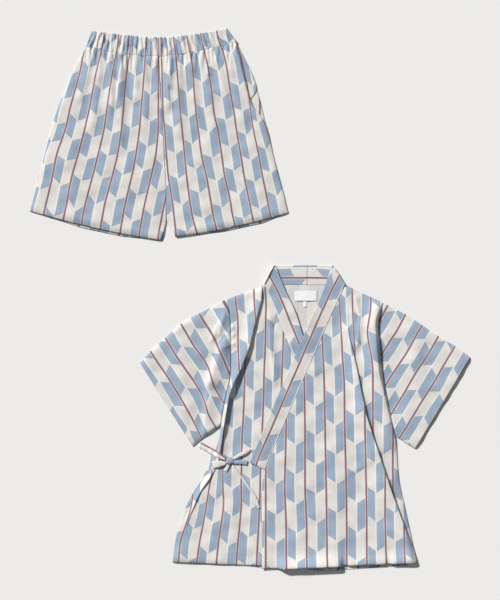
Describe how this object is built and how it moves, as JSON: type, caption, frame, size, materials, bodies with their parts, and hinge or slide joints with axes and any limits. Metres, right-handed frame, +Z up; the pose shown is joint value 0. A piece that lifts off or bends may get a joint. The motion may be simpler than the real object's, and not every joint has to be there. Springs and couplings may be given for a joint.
{
  "type": "jinbei set",
  "caption": "Short-sleeved wrap top, closed left over right and tied at the side, with elastic-waist shorts, in arrow-feather stripe cotton, laid flat as a set.",
  "frame": {"origin": "middle of the laid-out set, on the surface that it lies on", "axes": "+Z up from the surface, +Y from the top's hem towards the shorts' waist, +X towards the top's left sleeve"},
  "size_m": [1.0353, 1.2743, 0.0168],
  "materials": {
    "printed_cotton": "matte",
    "tie_cotton": "matte",
    "label": "matte"
  },
  "bodies": {
    "root": {"back": "printed_cotton", "right_front": "printed_cotton", "left_front": "printed_cotton", "right_sleeve": "printed_cotton", "left_sleeve": "printed_cotton", "right_collar": "printed_cotton", "left_collar": "printed_cotton", "waistband": "printed_cotton", "shorts_right_front": "printed_cotton", "shorts_left_front": "printed_cotton", "shorts_right_back": "printed_cotton", "shorts_left_back": "printed_cotton", "right_pocket": "printed_cotton", "left_pocket": "printed_cotton", "side_tie_strap": "tie_cotton", "tie_loop": "tie_cotton", "tie_ear": "tie_cotton", "front_tie_lead": "tie_cotton", "tie_end": "tie_cotton", "tie_tail": "tie_cotton", "tie_knot": "tie_cotton", "neck_label": "label", "size_tab": "label"}
  },
  "joints": []
}
